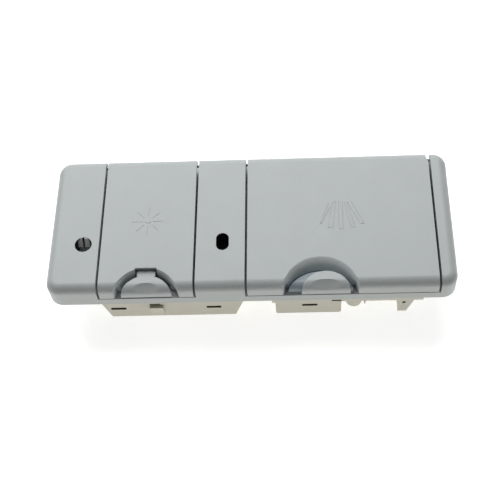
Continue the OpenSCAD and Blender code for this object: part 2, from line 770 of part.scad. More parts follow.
// Tank outline at floor and top
float_r = 4.2;
tank_x0 = left_x + tank_in;
tank_x1 = level_x + float_r + body_wall;

// Seat of the door seal inside the rim
ledge_w = 3;
ledge_z0 = rim_z + 2;
ledge_z1 = ledge_z0 + 1.5;
seal_drop = 1;

// Ring that follows the inside of the fascia's rim, from one inset to another
module rim_ring(inset0, inset1, z0, z1) {
  translate([0, 0, z0]) difference() {
    linear_extrude(z1 - z0) rounded_rect(fascia_w - 2 * inset0, fascia_d - 2 * inset0, corner_r - inset0);
    translate([0, 0, -over]) linear_extrude(z1 - z0 + 2 * over)
      rounded_rect(fascia_w - 2 * inset1, fascia_d - 2 * inset1, corner_r - inset1);
  }
}

module door_seal() color(rubber)
  rim_ring(rim_wall + play, rim_wall + ledge_w - 0.2, rim_z - seal_drop, ledge_z0);

// Hollows of the fascia: under the deck, inside the strips, and the bays over the deck
module fascia_hollows() {
  g = lid_gap / 2;
  translate([0, 0, rim_z - over]) linear_extrude(under_deck_z - rim_z + over)
    rounded_rect(fascia_w - 2 * rim_wall, fascia_d - 2 * rim_wall, corner_r - rim_wall);
  for (strip = [
    [left_x, rinse_x0 - g - side_wall],
    [rinse_x1 + g + side_wall, detergent_x0 - g - side_wall],
    [detergent_x1 + g + side_wall, -left_x]
  ])
    fascia_inside(strip[0], strip[1], rim_wall, face_t);
  for (bay = [[rinse_x0 - g, rinse_x1 + g], [detergent_x0 - g, detergent_x1 + g]])
    block(bay[0], bay[1], front_y - over, back_y + over, deck_z, face_z + over);
}

// Rest that the detergent latch slides on, raised from the deck
module thumb_rest() {
  intersection() {
    bar_z(latch_x, front_y - latch_inner_out, under_deck_z, face_z, latch_inner_r - lip_gap);
    thumb_section(latch_x, latch_inner_r, thumb_wall + play, thumb_t + play, under_deck_z + 0.5);
  }
}

// Cup wall and floor, upside down so that its rounded edge is below
module cup_tub(spread, depth) {
  translate([cup_x, cup_y, deck_z]) mirror([0, 0, 1])
    soft_block(cup_l + 2 * spread, cup_w + 2 * spread, depth, cup_r + spread, cup_floor_r + spread);
}

ear_x0 = tongue_barrel_x1 + play;
ear_x1 = tongue_pin_l / 2 + 0.3;
ear_r = 1.4;

module front_housing() color(grey) difference() {
  union() {
    difference() {
      fascia_form();
      fascia_hollows();
    }
    cup_tub(cup_wall, cup_depth + cup_wall);
    cup_ring(cup_wall, 0, deck_z - 0.2, cup_rim_z);
    ring_z(filler_x, filler_y, under_deck_z - 3, cup_rim_z, filler_r + filler_wall, filler_r);
    thumb_rest();
    rim_ring(rim_wall - 0.2, rim_wall + ledge_w, ledge_z0, ledge_z1);
    // Roof over the tank's left end, which also closes the outlet tube
    block(outlet_x - outlet_r - outlet_wall, rinse_x0, body_y0 - 2, body_y1 + 2, under_deck_z, deck_z);
    bar_z(outlet_x, outlet_y, deck_z - 0.2, face_z - face_t + 0.2, outlet_r + outlet_wall);
    translate([level_x, level_y, under_deck_z]) linear_extrude(face_z - face_t - under_deck_z + 0.2)
      obround(level_w + 3, level_l + 3);
    // Ears for the tongue's pin
    for (side = [0, 1]) translate([tongue_x, 0, 0]) mirror([side, 0, 0]) {
      bar_x(ear_x0, ear_x1, tongue_pin_y, tongue_pin_z, ear_r);
      block(ear_x0, ear_x1, tongue_pin_y - 1.2, tongue_pin_y + ear_r, deck_z - 0.2, tongue_pin_z);
    }
    // Post for the latch spring
    block(spring_post_x - spring_seat_t, spring_post_x, latch_spring_y - spring_seat_w / 2,
      latch_spring_y + spring_seat_w / 2, latch_spring_z - spring_seat_h, under_deck_z + 0.2);
    for (p = screws) bar_z(p[0], p[1], plate_z1 + play, under_deck_z + 0.2, post_r);
  }
  translate([0, 0, 0.01]) cup_tub(0, cup_depth + 0.01);
  translate([cup_x, cup_y, deck_z - 1]) linear_extrude(cup_rim_h + 2) rounded_rect(cup_l, cup_w, cup_r);
  bar_z(filler_x, filler_y, under_deck_z - 4, cup_rim_z + over, filler_r);
  bar_z(outlet_x, outlet_y, outlet_floor_z, face_z + over, outlet_r);
  translate([level_x, level_y, under_deck_z - over]) linear_extrude(face_z - under_deck_z + 2 * over)
    obround(level_w, level_l);
  bar_z(dial_x, dial_y, under_deck_z - over, deck_z + over, dial_shaft_r + pin_fit);
  // Slot for the latch's stem, and the channel for its nose
  block(button_x - stem_x - latch_travel - 0.5, button_x + stem_x + 0.5, stem_y0 - 0.4, stem_y1 + 0.4,
    under_deck_z - over, face_z);
  block(button_x - latch_travel - 0.5, latch_x + latch_inner_r, nose_y - hook_w / 2 - hook_gap,
    nose_y + hook_w / 2 + hook_gap, deck_z, face_z);
  for (bay = [[rinse_x0, rinse_x1], [detergent_x0, detergent_x1]])
    bar_x(bay[0] - lid_gap / 2 - side_wall - 0.1, bay[1] + lid_gap / 2 + side_wall + 0.1,
      hinge_y, hinge_z, hinge_pin_r + pin_fit);
  bar_x(tongue_x - ear_x1 - over, tongue_x + ear_x1 + over, tongue_pin_y, tongue_pin_z, tongue_pin_r + pin_fit);
  for (p = screws) bar_z(p[0], p[1], plate_z1, plate_z1 + screw_l, screw_r + 0.05);
}

module housing_screws() color(steel) for (p = screws) {
  bar_z(p[0], p[1], plate_z0 - screw_head_h, plate_z0, screw_head_r);
  bar_z(p[0], p[1], plate_z0 - 0.2, plate_z0 + screw_l, screw_r);
}

// Snap slots and windows in the rear housing's front wall: left edge, length, level, height
snap_in = 26.6;
snap_z0 = 2.5;
snap_z1 = 14.1;
snap_x = tank_x0 + snap_in;
snap_w = 8.8;
slot_depth = body_wall - 0.4;
slots = [
  [tank_x0 + 0.6, 10, 10.4, 1.5], [tank_x1 - 18.7, 9.5, 10.4, 1.5], [snap_x, 7, snap_z1, 1.9],
  [box_x0 + 19.7, 9.8, 10.3, 1.5], [box_x0 + 38.9, 6.2, 15.1, 1.5]
];
snap_out = 2.2;

// Level float on its post
float_h = 10;
float_post_r = 1.2;

// Dosing rod and its port in the tank's right end
rod_r = 1;
port_r = 4;
port_x0 = tank_x1 - 0.5;
port_x1 = tank_x1 + 9.5;
port_seal_r = 2.4;
port_seal_l = 2;

plate_x1 = detergent_x1 - 8;
bracket_x0 = box_x1 + 35.7;
bracket_w = 11.9;
bracket_hole_z = 11.7;
bracket_hole_r = 1.2;

// Actuator box outline, its left side stepped as seen from the front
box_step = 2.2;
box_step_z = 14.5;
module box_outline(inset) {
  polygon([
    [box_x0 + inset, body_top_z + (inset > 0 ? over : 0)], [box_x0 + inset, box_step_z + inset],
    [box_x0 + box_step + inset, box_step_z - 0.6 + inset], [box_x0 + box_step + inset, 1 + inset],
    [box_x0 + box_step + 1 + inset, inset], [box_x1 - 1 - inset, inset], [box_x1 - inset, 1 + inset],
    [box_x1 - inset, body_top_z + (inset > 0 ? over : 0)]
  ]);
}

module tank_outline(inset) {
  top = body_top_z + (inset > 0 ? over : 0);
  lean0 = tank_slant_left / body_top_z;
  lean1 = tank_slant_right / body_top_z;
  polygon([
    [tank_x0 + inset * 1.05 - lean0 * inset, inset], [tank_x1 - inset * 1.05 + lean1 * inset, inset],
    [tank_x1 - inset * 1.05 + lean1 * top, top], [tank_x0 + inset * 1.05 - lean0 * top, top]
  ]);
}

module rear_housing() color(ivory) difference() {
  union() {
    difference() {
      along_y(body_y0, body_y1) tank_outline(0);
      along_y(body_y0 + body_wall, body_y1 - body_wall) tank_outline(body_wall);
    }
    // Plate round the cup, and the walls on its edges
    difference() {
      block(tank_x1 + 6.6, plate_x1, body_y0, body_y1, plate_z0, body_top_z);
      block(tank_x1, plate_x1 - body_wall, body_y0 + body_wall, body_y1 - body_wall, plate_z1,
        body_top_z + over);
    }
    block(box_x1 - 0.2, plate_x1, body_y0, body_y0 + body_wall, 14.5, plate_z0 + 0.2);
    along_y(body_y0, body_y0 + coil_box_w) box_outline(0);
    bar_z(boss_x, boss_y, boss_z0, plate_z0 + 0.2, boss_r);
    // Rib beside the boss
    block(boss_x + 6.4, boss_x + 7.4, body_y0 + 0.2, body_y0 + 14, 10.5, plate_z0 + 0.2);
    // Bracket with its rib
    along_y(body_y0, body_y0 + body_wall) polygon([
      [bracket_x0, plate_z0], [bracket_x0, 12], [bracket_x0 + 1.2, 8], [bracket_x0 + 1.2, 0],
      [bracket_x0 + 7, 0], [bracket_x0 + bracket_w, 16.5], [bracket_x0 + bracket_w, plate_z0]
    ]);
    along_x(bracket_x0 + 1.2, bracket_x0 + 3.2) polygon([
      [body_y0, 0], [body_y0 + 4, 0], [body_y0 + 14, plate_z0 + 0.2], [body_y0, plate_z0 + 0.2]
    ]);
    // Lug for the left screw
    block(lug_x - 5, tank_x0 - 5.8, lug_y - 5, lug_y + 5, plate_z0, plate_z1);
    // Snap wedge under its window
    along_x(snap_x, snap_x + snap_w) polygon([
      [body_y0 + 0.2, snap_z0], [body_y0, snap_z0], [body_y0 - snap_out, snap_z1 - 0.6],
      [body_y0 - snap_out, snap_z1], [body_y0 + 0.2, snap_z1]
    ]);
    bar_z(level_x, level_y, body_wall - 0.2, under_deck_z - 4, float_post_r);
    bar_x(port_x0, port_x1, coil_y, plunger_z, port_r);
  }
  // Window for the cup
  translate([cup_x, cup_y, plate_z0 - over]) linear_extrude(plate_t + 2 * over)
    rounded_rect(cup_l + 2 * (cup_wall + play), cup_w + 2 * (cup_wall + play), cup_r + cup_wall + play);
  along_y(body_y0 + body_wall, body_y0 + coil_box_w - body_wall) box_outline(body_wall);
  for (s = slots) block(s[0], s[0] + s[1], body_y0 - over, body_y0 + slot_depth, s[2], s[2] + s[3]);
  // Way for the latch's foot over the front wall
  block(button_x - foot_x - latch_travel - 0.5, button_x + foot_x + 0.5, body_y0 - over,
    body_y0 + body_wall + over, foot_z0 - play, body_top_z + over);
  bar_z(boss_x, boss_y, boss_z0 - over, plate_z0, screw_head_r + play);
  for (p = screws) bar_z(p[0], p[1], plate_z0 - over, plate_z1 + over, screw_r + 0.15);
  bar_x(port_x0 - over, port_x1 + over, coil_y, plunger_z, rod_r + pin_fit);
  bar_x(port_x1 - port_seal_l, port_x1 + over, coil_y, plunger_z, port_seal_r);
  bar_x(box_x0 - over, box_x0 + box_step + body_wall + over, coil_y, plunger_z, rod_r + 0.5);
  bar_y(body_y0 + 0.6, body_y0 + coil_box_w - 0.6, lever_x, lever_z, lever_pin_r + pin_fit);
  for (side = [-1, 1])
    block(box_x0 - over, box_x0 + body_wall + over, coil_y + side * blade_y - blade_w / 2 - 0.1,
      coil_y + side * blade_y + blade_w / 2 + 0.1, terminal_z - 0.1, terminal_z + blade_t + 0.1);
  bar_y(body_y0 - over, body_y0 + 3, bracket_x0 + 4.8, bracket_hole_z, bracket_hole_r);
}

module level_float() color("#c8452f") difference() {
  bar_z(level_x, level_y, body_wall + 0.3, body_wall + 0.3 + float_h, float_r);
  bar_z(level_x, level_y, 0, body_wall + float_h + over, float_post_r + 0.1);
}

// Coil: yoke plates, bobbin between them, plunger and rod through both
yoke_t = 1.2;
yoke_x0 = box_x0 + 4.5;
bobbin_x0 = yoke_x0 + yoke_t + play;
bobbin_x1 = bobbin_x0 + bobbin_l;
yoke_x1 = bobbin_x1 + play + yoke_t;
flange_r = winding_r + 0.8;
flange_t = 1.2;
yoke_z0 = plunger_z - flange_r - play - yoke_t;
yoke_w = 6;
bobbin_tube_r = plunger_r + 0.9;
bobbin_bore_r = plunger_r + 0.08;
plunger_x0 = bobbin_x0 + 8.2;
core_x1 = plunger_x0 - 3.5;
head_x = 4.5;
head_y = 3.4;
head_window = 2.3;
head_window_y = 1.9;
head_t = 1.2;
terminal_z = plunger_z + winding_r + play + 0.4;
terminal_x0 = box_x0 - 9;
terminal_block_w = 11;
blade_y = 2.9;
blade_w = 2.8;
blade_t = 0.6;
blade_seat = 4;

// Body of one terminal blade between two places along X
module blade(side, x0, x1) {
  y = coil_y + side * blade_y;
  block(x0, x1, y - blade_w / 2, y + blade_w / 2, terminal_z, terminal_z + blade_t);
}

module coil_yoke() color(steel) difference() {
  union() {
    for (x = [yoke_x0, yoke_x1 - yoke_t])
      block(x, x + yoke_t, coil_y - yoke_w, coil_y + yoke_w, yoke_z0, plunger_z + yoke_w);
    block(yoke_x0, yoke_x1, coil_y - yoke_w, coil_y + yoke_w, yoke_z0, yoke_z0 + yoke_t);
    // Feet down to the floor of the box
    for (x = [yoke_x0 + 2, yoke_x1 - 5])
      block(x, x + 3, coil_y - yoke_w, coil_y + yoke_w, body_wall, yoke_z0 + 0.2);
    bar_x(yoke_x0, core_x1, coil_y, plunger_z, plunger_r);
  }
  bar_x(yoke_x0 - over, core_x1 + over, coil_y, plunger_z, rod_r + pin_fit);
  bar_x(yoke_x1 - yoke_t - 0.1, yoke_x1 + over, coil_y, plunger_z, plunger_r + play);
}

module coil_bobbin() color("#2f3133") difference() {
  union() {
    bar_x(bobbin_x0, bobbin_x1, coil_y, plunger_z, bobbin_tube_r);
    for (x = [bobbin_x0, bobbin_x1 - flange_t]) bar_x(x, x + flange_t, coil_y, plunger_z, flange_r);
    block(bobbin_x0, bobbin_x0 + blade_seat, coil_y - terminal_block_w / 2, coil_y + terminal_block_w / 2,
      plunger_z + winding_r + play, terminal_z + blade_t + 1.2);
  }
  bar_x(bobbin_x0 - over, bobbin_x1 + over, coil_y, plunger_z, bobbin_bore_r);
  for (side = [-1, 1]) blade(side, bobbin_x0 - over, bobbin_x0 + blade_seat + over);
}

module coil_winding() color("#b5652b") translate([bobbin_x0 + flange_t + 0.1, coil_y, plunger_z])
  rotate([0, 90, 0]) ring_z(0, 0, 0, bobbin_l - 2 * flange_t - 0.2, winding_r, bobbin_tube_r + 0.1);

module coil_plunger() color(steel) {
  bar_x(plunger_x0, lever_x - head_x + 0.2, coil_y, plunger_z, plunger_r);
  difference() {
    block(lever_x - head_x, lever_x + head_x, coil_y - head_y, coil_y + head_y, plunger_z - head_t,
      plunger_z + head_t);
    block(lever_x - head_window, lever_x + head_window, coil_y - head_window_y, coil_y + head_window_y,
      plunger_z - head_t - over, plunger_z + head_t + over);
  }
}

rod_disc_x0 = port_x0 - 1.8;
rod_collar_out = 4;
rod_collar_x0 = box_x0 - rod_collar_out;
module dosing_rod() color("#e4e4de") {
  bar_x(rod_disc_x0, plunger_x0, coil_y, plunger_z, rod_r);
  bar_x(rod_disc_x0, rod_disc_x0 + 1.5, coil_y, plunger_z, 2.6);
  bar_x(rod_collar_x0, rod_collar_x0 + 1.5, coil_y, plunger_z, 2.6);
}

module plunger_spring()
  spring_x(port_x1, rod_collar_x0, coil_y, plunger_z, 1.9, 0.35, 6);

module dosing_seal() color(rubber) translate([port_x1 - port_seal_l, coil_y, plunger_z])
  rotate([0, 90, 0]) ring_z(0, 0, 0, port_seal_l - 0.1, port_seal_r - 0.05, rod_r + 0.05);

module terminals() color("#c9b36a") for (side = [-1, 1]) blade(side, terminal_x0, bobbin_x0 + blade_seat);

lever_half = 1.5;
lever_eye_half = 2.4;
lever_eye_r = 2.6;
module release_lever() color("#e4e4de") difference() {
  union() {
    bar_y(coil_y - lever_eye_half, coil_y + lever_eye_half, lever_x, lever_z, lever_eye_r);
    block(lever_x - lever_half, lever_x + lever_half, coil_y - lever_half, coil_y + lever_half,
      lever_z, lever_top_z);
    bar_y(coil_y - lever_half, coil_y + lever_half, lever_x, lever_top_z, lever_half);
  }
  bar_y(coil_y - lever_eye_half - over, coil_y + lever_eye_half + over, lever_x, lever_z,
    lever_pin_r + pin_fit);
}

module lever_pin() color(steel)
  bar_y(body_y0 + 0.8, body_y0 + coil_box_w - 0.8, lever_x, lever_z, lever_pin_r);

front_housing();
rear_housing();
door_seal();
detergent_lid();
detergent_lid_seal();
lid_hook();
detergent_hinge_pin();
detergent_lid_spring();
rinse_lid();
rinse_lid_seal();
rinse_hinge_pin();
detergent_latch();
latch_spring();
rinse_latch();
rinse_latch_pin();
rinse_latch_spring();
dose_dial();
dial_seal();
level_lens();
level_float();
outlet_nozzle();
coil_bobbin();
coil_winding();
coil_yoke();
coil_plunger();
dosing_rod();
plunger_spring();
dosing_seal();
terminals();
release_lever();
lever_pin();
housing_screws();
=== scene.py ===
# Dishwasher detergent dispenser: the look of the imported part, lying on its back on a pale table.
import math

import bpy
from mathutils import Matrix, Vector


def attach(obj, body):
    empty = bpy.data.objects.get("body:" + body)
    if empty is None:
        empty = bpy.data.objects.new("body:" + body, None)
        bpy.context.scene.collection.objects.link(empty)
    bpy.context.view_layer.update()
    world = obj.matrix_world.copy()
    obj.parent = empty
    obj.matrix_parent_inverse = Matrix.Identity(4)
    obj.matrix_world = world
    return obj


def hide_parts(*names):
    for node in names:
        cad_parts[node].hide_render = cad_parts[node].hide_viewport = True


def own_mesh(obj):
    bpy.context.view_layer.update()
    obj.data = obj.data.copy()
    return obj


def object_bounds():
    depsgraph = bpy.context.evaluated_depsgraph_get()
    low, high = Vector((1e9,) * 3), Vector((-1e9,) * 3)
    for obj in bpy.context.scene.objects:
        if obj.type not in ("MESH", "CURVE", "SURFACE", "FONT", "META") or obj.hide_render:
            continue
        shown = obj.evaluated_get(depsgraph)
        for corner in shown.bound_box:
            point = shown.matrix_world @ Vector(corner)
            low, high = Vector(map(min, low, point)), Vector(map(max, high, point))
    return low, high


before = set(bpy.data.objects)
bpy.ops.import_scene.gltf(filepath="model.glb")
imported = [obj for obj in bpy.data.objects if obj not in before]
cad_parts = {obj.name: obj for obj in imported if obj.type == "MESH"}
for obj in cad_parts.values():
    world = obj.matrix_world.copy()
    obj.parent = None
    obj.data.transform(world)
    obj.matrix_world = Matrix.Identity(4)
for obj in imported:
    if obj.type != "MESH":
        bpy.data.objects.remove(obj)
cad_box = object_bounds()
MM = 0.001


# Front housing: the grey moulding that faces the inside of the dishwasher.
# Injection moulded in satin polypropylene with a fine spark-eroded grain.
class Wire:
    """A socket of a material, on which Python arithmetic adds Math nodes."""

    def __init__(self, tree, socket):
        self.tree = tree
        self.socket = socket

    def maths(self, operation, first, second):
        node = self.tree.nodes.new("ShaderNodeMath")
        node.operation = operation
        for slot, value in zip(node.inputs, (first, second)):
            if isinstance(value, Wire):
                self.tree.links.new(value.socket, slot)
            else:
                slot.default_value = value
        return Wire(self.tree, node.outputs[0])

    def __add__(self, other):
        return self.maths("ADD", self, other)

    def __radd__(self, other):
        return self.maths("ADD", other, self)

    def __sub__(self, other):
        return self.maths("SUBTRACT", self, other)

    def __rsub__(self, other):
        return self.maths("SUBTRACT", other, self)

    def __mul__(self, other):
        return self.maths("MULTIPLY", self, other)

    def __rmul__(self, other):
        return self.maths("MULTIPLY", other, self)

    def __truediv__(self, other):
        return self.maths("DIVIDE", self, other)


class Finish:
    """A material with its own Principled shader, and one method for every other node."""

    def __init__(self, name, **sockets):
        self.material = bpy.data.materials.new(name)
        self.material.use_nodes = True
        self.tree = self.material.node_tree
        self.shader = self.tree.nodes["Principled BSDF"]
        self.place = self.node("ShaderNodeTexCoord", out="Object")
        for socket, value in sockets.items():
            self.put(self.shader, socket.replace("_", " "), value)

    def put(self, node, socket, value):
        slot = node.inputs[socket]
        if isinstance(value, Wire):
            self.tree.links.new(value.socket, slot)
        else:
            slot.default_value = value

    def node(self, kind, settings=None, out=0, **values):
        node = self.tree.nodes.new(kind)
        for name, value in (settings or {}).items():
            if name == "stops":
                for stop, (position, colour) in zip(node.color_ramp.elements, value):
                    stop.position = position
                    stop.color = colour
            else:
                setattr(node, name, value)
        for socket, value in values.items():
            key = int(socket[1:]) if socket[0] == "i" and socket[1:].isdigit() else socket.replace("_", " ")
            self.put(node, key, value)
        return Wire(self.tree, node.outputs[out])

    def noise(self, size, detail=2.0, roughness=0.5):
        """Noise whose blotches are about so many metres across."""
        return self.node("ShaderNodeTexNoise", Vector=self.place, Scale=1 / size, Detail=detail,
                         Roughness=roughness)

    def blend(self, factor, first, second):
        return self.node("ShaderNodeMix", {"data_type": "RGBA"}, out=2, i0=factor, i6=first, i7=second)

    def bump(self, height, distance, strength=1.0):
        return self.node("ShaderNodeBump", Height=height, Distance=distance, Strength=strength)

    def finish(self, **sockets):
        for socket, value in sockets.items():
            self.put(self.shader, socket.replace("_", " "), value)
        return self.material


def shade(colour, factor):
    return (colour[0] * factor, colour[1] * factor, colour[2] * factor, 1.0)


def moulded_plastic(name, colour, roughness, grain=0.00028, depth=0.000012, mottle=0.035, painted_shade_recesses=()):
    made = Finish(name, IOR=1.49)
    cloud = made.noise(0.022, detail=3.0)
    flow = made.noise(0.0035, detail=2.0)
    pits = made.noise(grain, detail=1.0)
    speck = made.noise(0.0016, detail=2.0)
    tone = (cloud * 0.4 + flow * 0.25 + speck * 0.35 - 0.35) * 3.0
    skin = made.blend(tone, shade(colour, 1 - mottle), shade(colour, 1 + mottle))
    flat = made.node("ShaderNodeVectorMath", {"operation": "MULTIPLY"}, i0=made.place, i1=(1, 1, 0))
    height = made.node("ShaderNodeSeparateXYZ", Vector=made.place, out="Z")
    for x, y, radius in painted_shade_recesses:
        # Painted shade: a recess is painted darker and bluer towards its bottom
        away = made.node("ShaderNodeVectorMath", {"operation": "DISTANCE"}, out="Value", i0=flat,
                         i1=(x * MM, y * MM, 0))
        inside = made.node("ShaderNodeMapRange", i0=away, i1=(radius - 1) * MM, i2=radius * MM, i3=1.0, i4=0.0)
        low = made.node("ShaderNodeMapRange", i0=height, i1=FACE_Z - 1.2 * MM, i2=FACE_Z - 5.2 * MM, i3=0.0, i4=1.0)
        above = made.node("ShaderNodeMapRange", i0=height, i1=34.6 * MM, i2=35.4 * MM, i3=0.0, i4=1.0)
        skin = made.blend(inside * low * above, skin,
                          (colour[0] * 0.56, colour[1] * 0.63, colour[2] * 0.7, 1.0))
    return made.finish(
        Base_Color=skin,
        Roughness=roughness - 0.05 + flow * 0.1,
        Normal=made.bump(pits * 0.8 + flow * 0.2, depth),
    )


def dress(material, *nodes):
    for name in nodes:
        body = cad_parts[name]
        body.data.materials.clear()
        body.data.materials.append(material)


def smooth_soft_edges(piece):
    """Round faces shade smoothly, and large flat ones stay flat up to their edges."""
    bpy.ops.object.select_all(action="DESELECT")
    piece.select_set(True)
    bpy.context.view_layer.objects.active = piece
    bpy.ops.object.shade_smooth_by_angle(angle=math.radians(32))
    flat = piece.modifiers.new("flat_faces", "WEIGHTED_NORMAL")
    flat.keep_sharp = True
    flat.weight = 100
    bpy.ops.object.modifier_apply(modifier=flat.name)


def soften_arc(piece, centre_x, centre_y, radius):
    """A wide soft edge along the upper rim of a thumb piece, where a finger pushes."""
    mesh = piece.data
    weights = mesh.attributes.new("bevel_weight_edge", "FLOAT", "EDGE")
    faces_at = {}
    for face in mesh.polygons:
        for key in face.edge_keys:
            faces_at.setdefault(key, []).append(face.normal)
    for edge in mesh.edges:
        ends = [mesh.vertices[i].co / MM for i in edge.vertices]
        on_arc = all(abs(math.hypot(p.x - centre_x, p.y - centre_y) - radius) < 0.1 for p in ends)
        normals = faces_at.get(edge.key, [])
        sharp = len(normals) == 2 and normals[0].angle(normals[1]) > math.radians(20)
        if on_arc and sharp and min(p.z for p in ends) > 37.5 and max(n.z for n in normals) > 0.4:
            weights.data[edge.index].value = 1.0
    soft = piece.modifiers.new("soft_arc", "BEVEL")
    soft.width = 0.8 * MM
    soft.segments = 4
    soft.limit_method = "WEIGHT"
    soft.use_clamp_overlap = False
    bpy.ops.object.modifier_apply(modifier=soft.name)


def moulded_copy(name, body, material, edge, soft_arc=None):
    """The node's own form with its sharp edges broken, as they come out of a mould."""
    bpy.ops.object.select_all(action="DESELECT")
    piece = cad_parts[name].copy()
    piece.data = piece.data.copy()
    piece.name = name + "_moulded"
    bpy.context.scene.collection.objects.link(piece)
    piece.parent = None
    piece.select_set(True)
    bpy.context.view_layer.objects.active = piece
    bpy.ops.object.mode_set(mode="EDIT")
    bpy.ops.mesh.select_all(action="SELECT")
    bpy.ops.mesh.remove_doubles(threshold=1e-6)
    bpy.ops.mesh.dissolve_limited(angle_limit=math.radians(0.6))
    bpy.ops.object.mode_set(mode="OBJECT")
    if soft_arc:
        soften_arc(piece, *soft_arc)
    broken = piece.modifiers.new("edges", "BEVEL")
    broken.width = edge
    broken.segments = 2
    broken.limit_method = "ANGLE"
    broken.angle_limit = math.radians(32)
    bpy.ops.object.modifier_apply(modifier=broken.name)
    smooth_soft_edges(piece)
    piece.data.materials.clear()
    piece.data.materials.append(material)
    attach(piece, body)
    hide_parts(name)
    return piece


EDGE = 0.25 * MM
FASCIA_GREY = (0.452, 0.487, 0.485)
FACE_Z = cad_box[1][2]
# Lid recesses that get painted shade: centre x, y and radius in mm.
PAINTED_SHADE_RECESSES = ((44.4, -53.1, 24.2), (-66.1, -56.0, 21.2))
fascia_grey = moulded_plastic("fascia_grey", FASCIA_GREY, 0.46, painted_shade_recesses=PAINTED_SHADE_RECESSES)
thumb_grey = moulded_plastic("thumb_grey", FASCIA_GREY, 0.42)
nozzle_grey = moulded_plastic("nozzle_grey", (0.75, 0.79, 0.77), 0.4)
dress(nozzle_grey, "outlet_nozzle")
fascia = moulded_copy("front_housing", "housing", fascia_grey, EDGE)
# Painted shadow: the bays' side walls beside the lids and the walls of two bores are coloured near black.
bay_shadow = moulded_plastic("bay_shadow", (0.016, 0.018, 0.02), 0.6)
fascia.data.materials.append(bay_shadow)
BAY_SIDES = (-96.8, -35.4, -2.6, 118.8)
BORES = ((-107.7, -16.7, 5.7, 5.7), (-17.7, -16.8, 4.3, 6.6))
for face in fascia.data.polygons:
    x, y, z = face.center / MM
    beside_lid = abs(face.normal.x) > 0.98 and min(abs(x - side) for side in BAY_SIDES) < 0.1
    in_bore = abs(face.normal.z) < 0.1 and any(abs(x - bx) < rx and abs(y - by) < ry for bx, by, rx, ry in BORES)
    if beside_lid or in_bore:
        face.material_index = 1

# Lids: the same grey, each with its sign sunk a little into the face.
# A star for the rinse aid and five jets of water for the detergent, without words.
SIGN_DEPTH = 0.14 * MM
SIGN_LINE = 0.42 * MM
STAR = (
    (-77.1, -0.5, -70.2, -0.4), (-63.3, -0.4, -56.7, -0.1), (-66.5, 3.8, -65.9, 10.3),
    (-66.5, -4.1, -67.0, -10.7), (-68.9, 2.1, -73.8, 7.0), (-63.5, 2.5, -59.1, 6.3),
    (-69.1, -2.8, -73.6, -7.5), (-64.0, -3.2, -59.6, -7.5), (-68.4, -0.6, -66.4, -1.7),
    (-66.4, -1.7, -64.6, -0.7),
)
JETS = (
    (45.0, -5.7, 51.1, 10.7), (46.6, -4.2, 52.0, 7.5), (50.1, -8.3, 53.7, 10.5), (53.4, -8.3, 55.7, 11.7),
    (57.3, -9.4, 57.6, 11.7), (59.9, -9.4, 59.9, 11.7), (64.8, -8.3, 61.3, 10.8), (67.6, -8.3, 63.0, 10.8),
    (70.8, -5.7, 63.5, 10.7), (73.4, -5.7, 65.7, 11.4), (45.0, -5.7, 46.6, -4.2), (50.1, -8.3, 53.4, -8.3),
    (57.3, -9.4, 59.9, -9.4), (64.8, -8.3, 67.6, -8.3), (70.8, -5.7, 73.4, -5.7),
)
# The sunk strokes take a darker grey, painted shade in the lines of the signs.
sign_shadow = moulded_plastic("sign_shadow", (0.41, 0.43, 0.435), 0.5)


def sink_sign(piece, lines):
    piece.data.materials.append(sign_shadow)
    bpy.ops.object.select_all(action="DESELECT")
    strokes = []
    for x0, y0, x1, y1 in lines:
        start, end = Vector((x0 * MM, y0 * MM, FACE_Z)), Vector((x1 * MM, y1 * MM, FACE_Z))
        bpy.ops.mesh.primitive_cube_add(size=1)
        stroke = bpy.context.object
        stroke.scale = ((end - start).length + SIGN_LINE, SIGN_LINE, 2 * SIGN_DEPTH)
        stroke.rotation_euler = (0, 0, math.atan2(end.y - start.y, end.x - start.x))
        stroke.location = (start + end) / 2
        stroke.data.materials.append(sign_shadow)
        strokes.append(stroke)
    for stroke in strokes:
        bpy.ops.object.select_all(action="DESELECT")
        bpy.context.view_layer.objects.active = piece
        cut = piece.modifiers.new("sign", "BOOLEAN")
        cut.operation = "DIFFERENCE"
        cut.solver = "EXACT"
        cut.material_mode = "TRANSFER"
        cut.object = stroke
        bpy.ops.object.modifier_apply(modifier=cut.name)
        bpy.data.objects.remove(stroke)
    smooth_soft_edges(piece)


rinse_cover = moulded_copy("rinse_lid", "rinse_lid", fascia_grey, EDGE)
sink_sign(rinse_cover, STAR)
detergent_cover = moulded_copy("detergent_lid", "detergent_lid", fascia_grey, EDGE)
sink_sign(detergent_cover, JETS)

# Thumb latches: the sliding button and the tilting tongue, in the lids' grey.
button = moulded_copy("detergent_latch", "detergent_latch", thumb_grey, EDGE,
                      soft_arc=(47.75, -53.9, 15.8))
tongue = moulded_copy("rinse_latch", "rinse_latch", thumb_grey, EDGE,
                      soft_arc=(-66.1, -55.7, 17.0))
